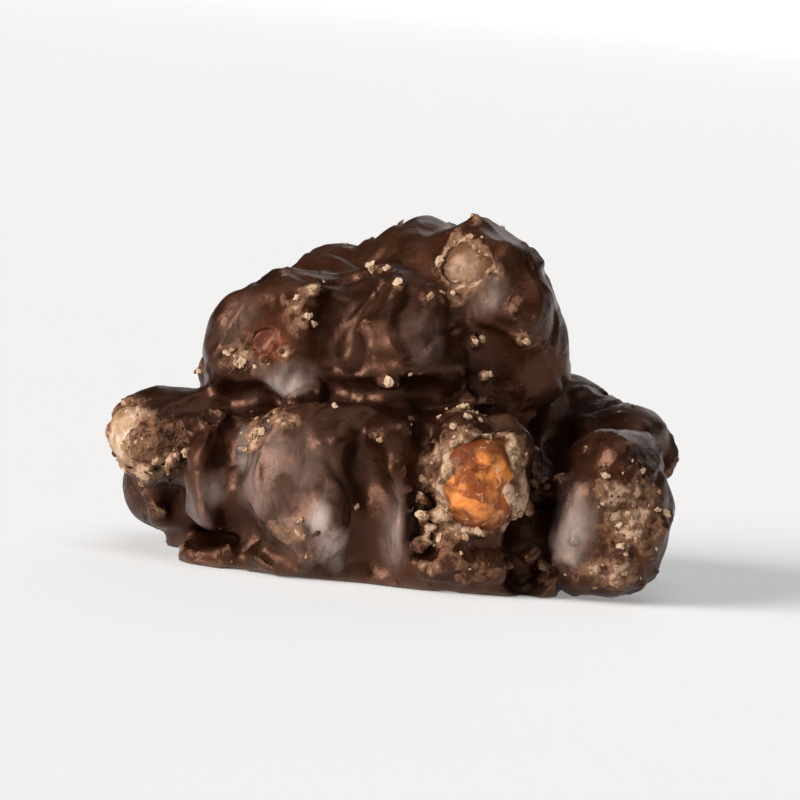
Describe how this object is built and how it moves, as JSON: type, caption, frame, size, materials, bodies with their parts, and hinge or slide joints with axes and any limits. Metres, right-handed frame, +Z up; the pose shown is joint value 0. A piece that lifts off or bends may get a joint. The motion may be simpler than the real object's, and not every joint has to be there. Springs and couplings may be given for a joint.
{
  "type": "dark chocolate peanut cluster",
  "caption": "Bite-sized lump of roasted peanuts bound and coated in dark chocolate, domed on top, flat underneath, with bare nuts showing through broken coating.",
  "frame": {"origin": "middle of the bounding box's underside, on the flat face that the cluster set on", "axes": "+Z up out of the flat underside, +X along the cluster's longest side, -Y towards the side that the picture shows"},
  "size_m": [0.04, 0.0312, 0.0257],
  "materials": {
    "dark_chocolate": "dark brown chocolate, satin with soft highlights, scuffed tan on its high places, dull on its flat underside",
    "roasted_peanut": "roasted golden to orange brown nut, dry, cream where its surface is broken"
  },
  "bodies": {
    "root": {"chocolate_body": "dark_chocolate", "peanut_front": "roasted_peanut", "peanut_left": "roasted_peanut", "peanut_upper_left": "roasted_peanut", "peanut_top": "roasted_peanut", "peanut_back_left": "roasted_peanut", "peanut_back_right": "roasted_peanut"}
  },
  "joints": []
}
